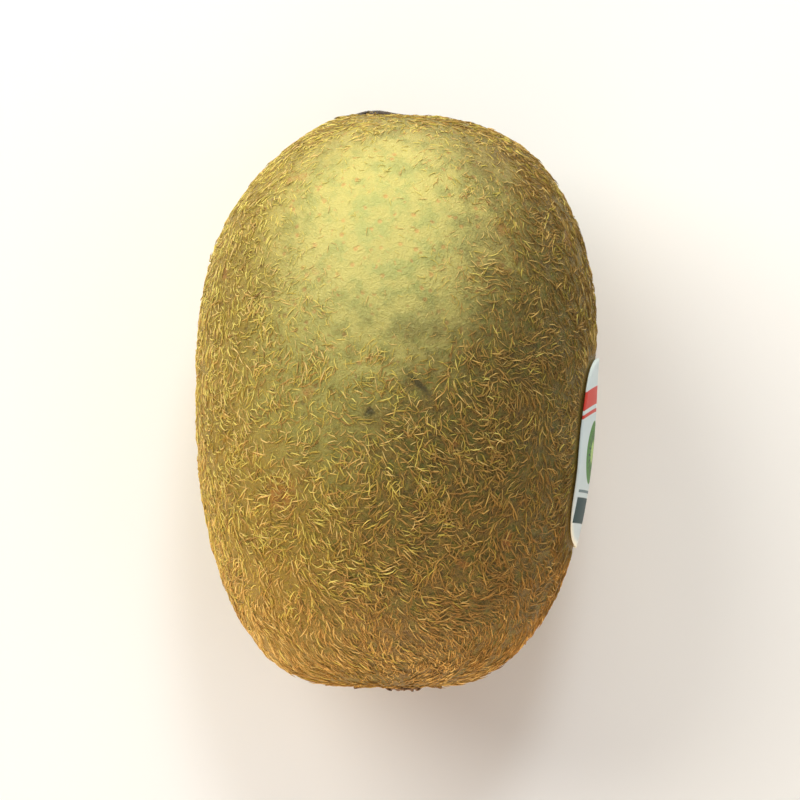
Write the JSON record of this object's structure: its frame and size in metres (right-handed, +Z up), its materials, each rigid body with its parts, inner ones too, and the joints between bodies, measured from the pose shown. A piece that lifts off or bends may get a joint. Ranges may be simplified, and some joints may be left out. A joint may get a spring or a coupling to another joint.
{
  "type": "kiwi fruit",
  "caption": "Whole kiwi fruit lying on its side, with a stalk scar and dried sepals at the stem end, a button with dried styles at the blossom end and a plain label with round corners.",
  "frame": {"origin": "on the surface the fruit lies on, under the middle of its box", "axes": "+Z up, +Y along the fruit from its stem end to its blossom end, +X towards the side with the label"},
  "size_m": [0.049, 0.0702, 0.046],
  "materials": {
    "skin": "olive brown fruit skin, paler green where rubbed, covered in short straw coloured hairs",
    "label": "thin satin label film printed with plain shapes in green, red, teal and grey"
  },
  "bodies": {
    "root": {"kiwi_fruit": "skin", "fruit_label": "label"}
  },
  "joints": []
}
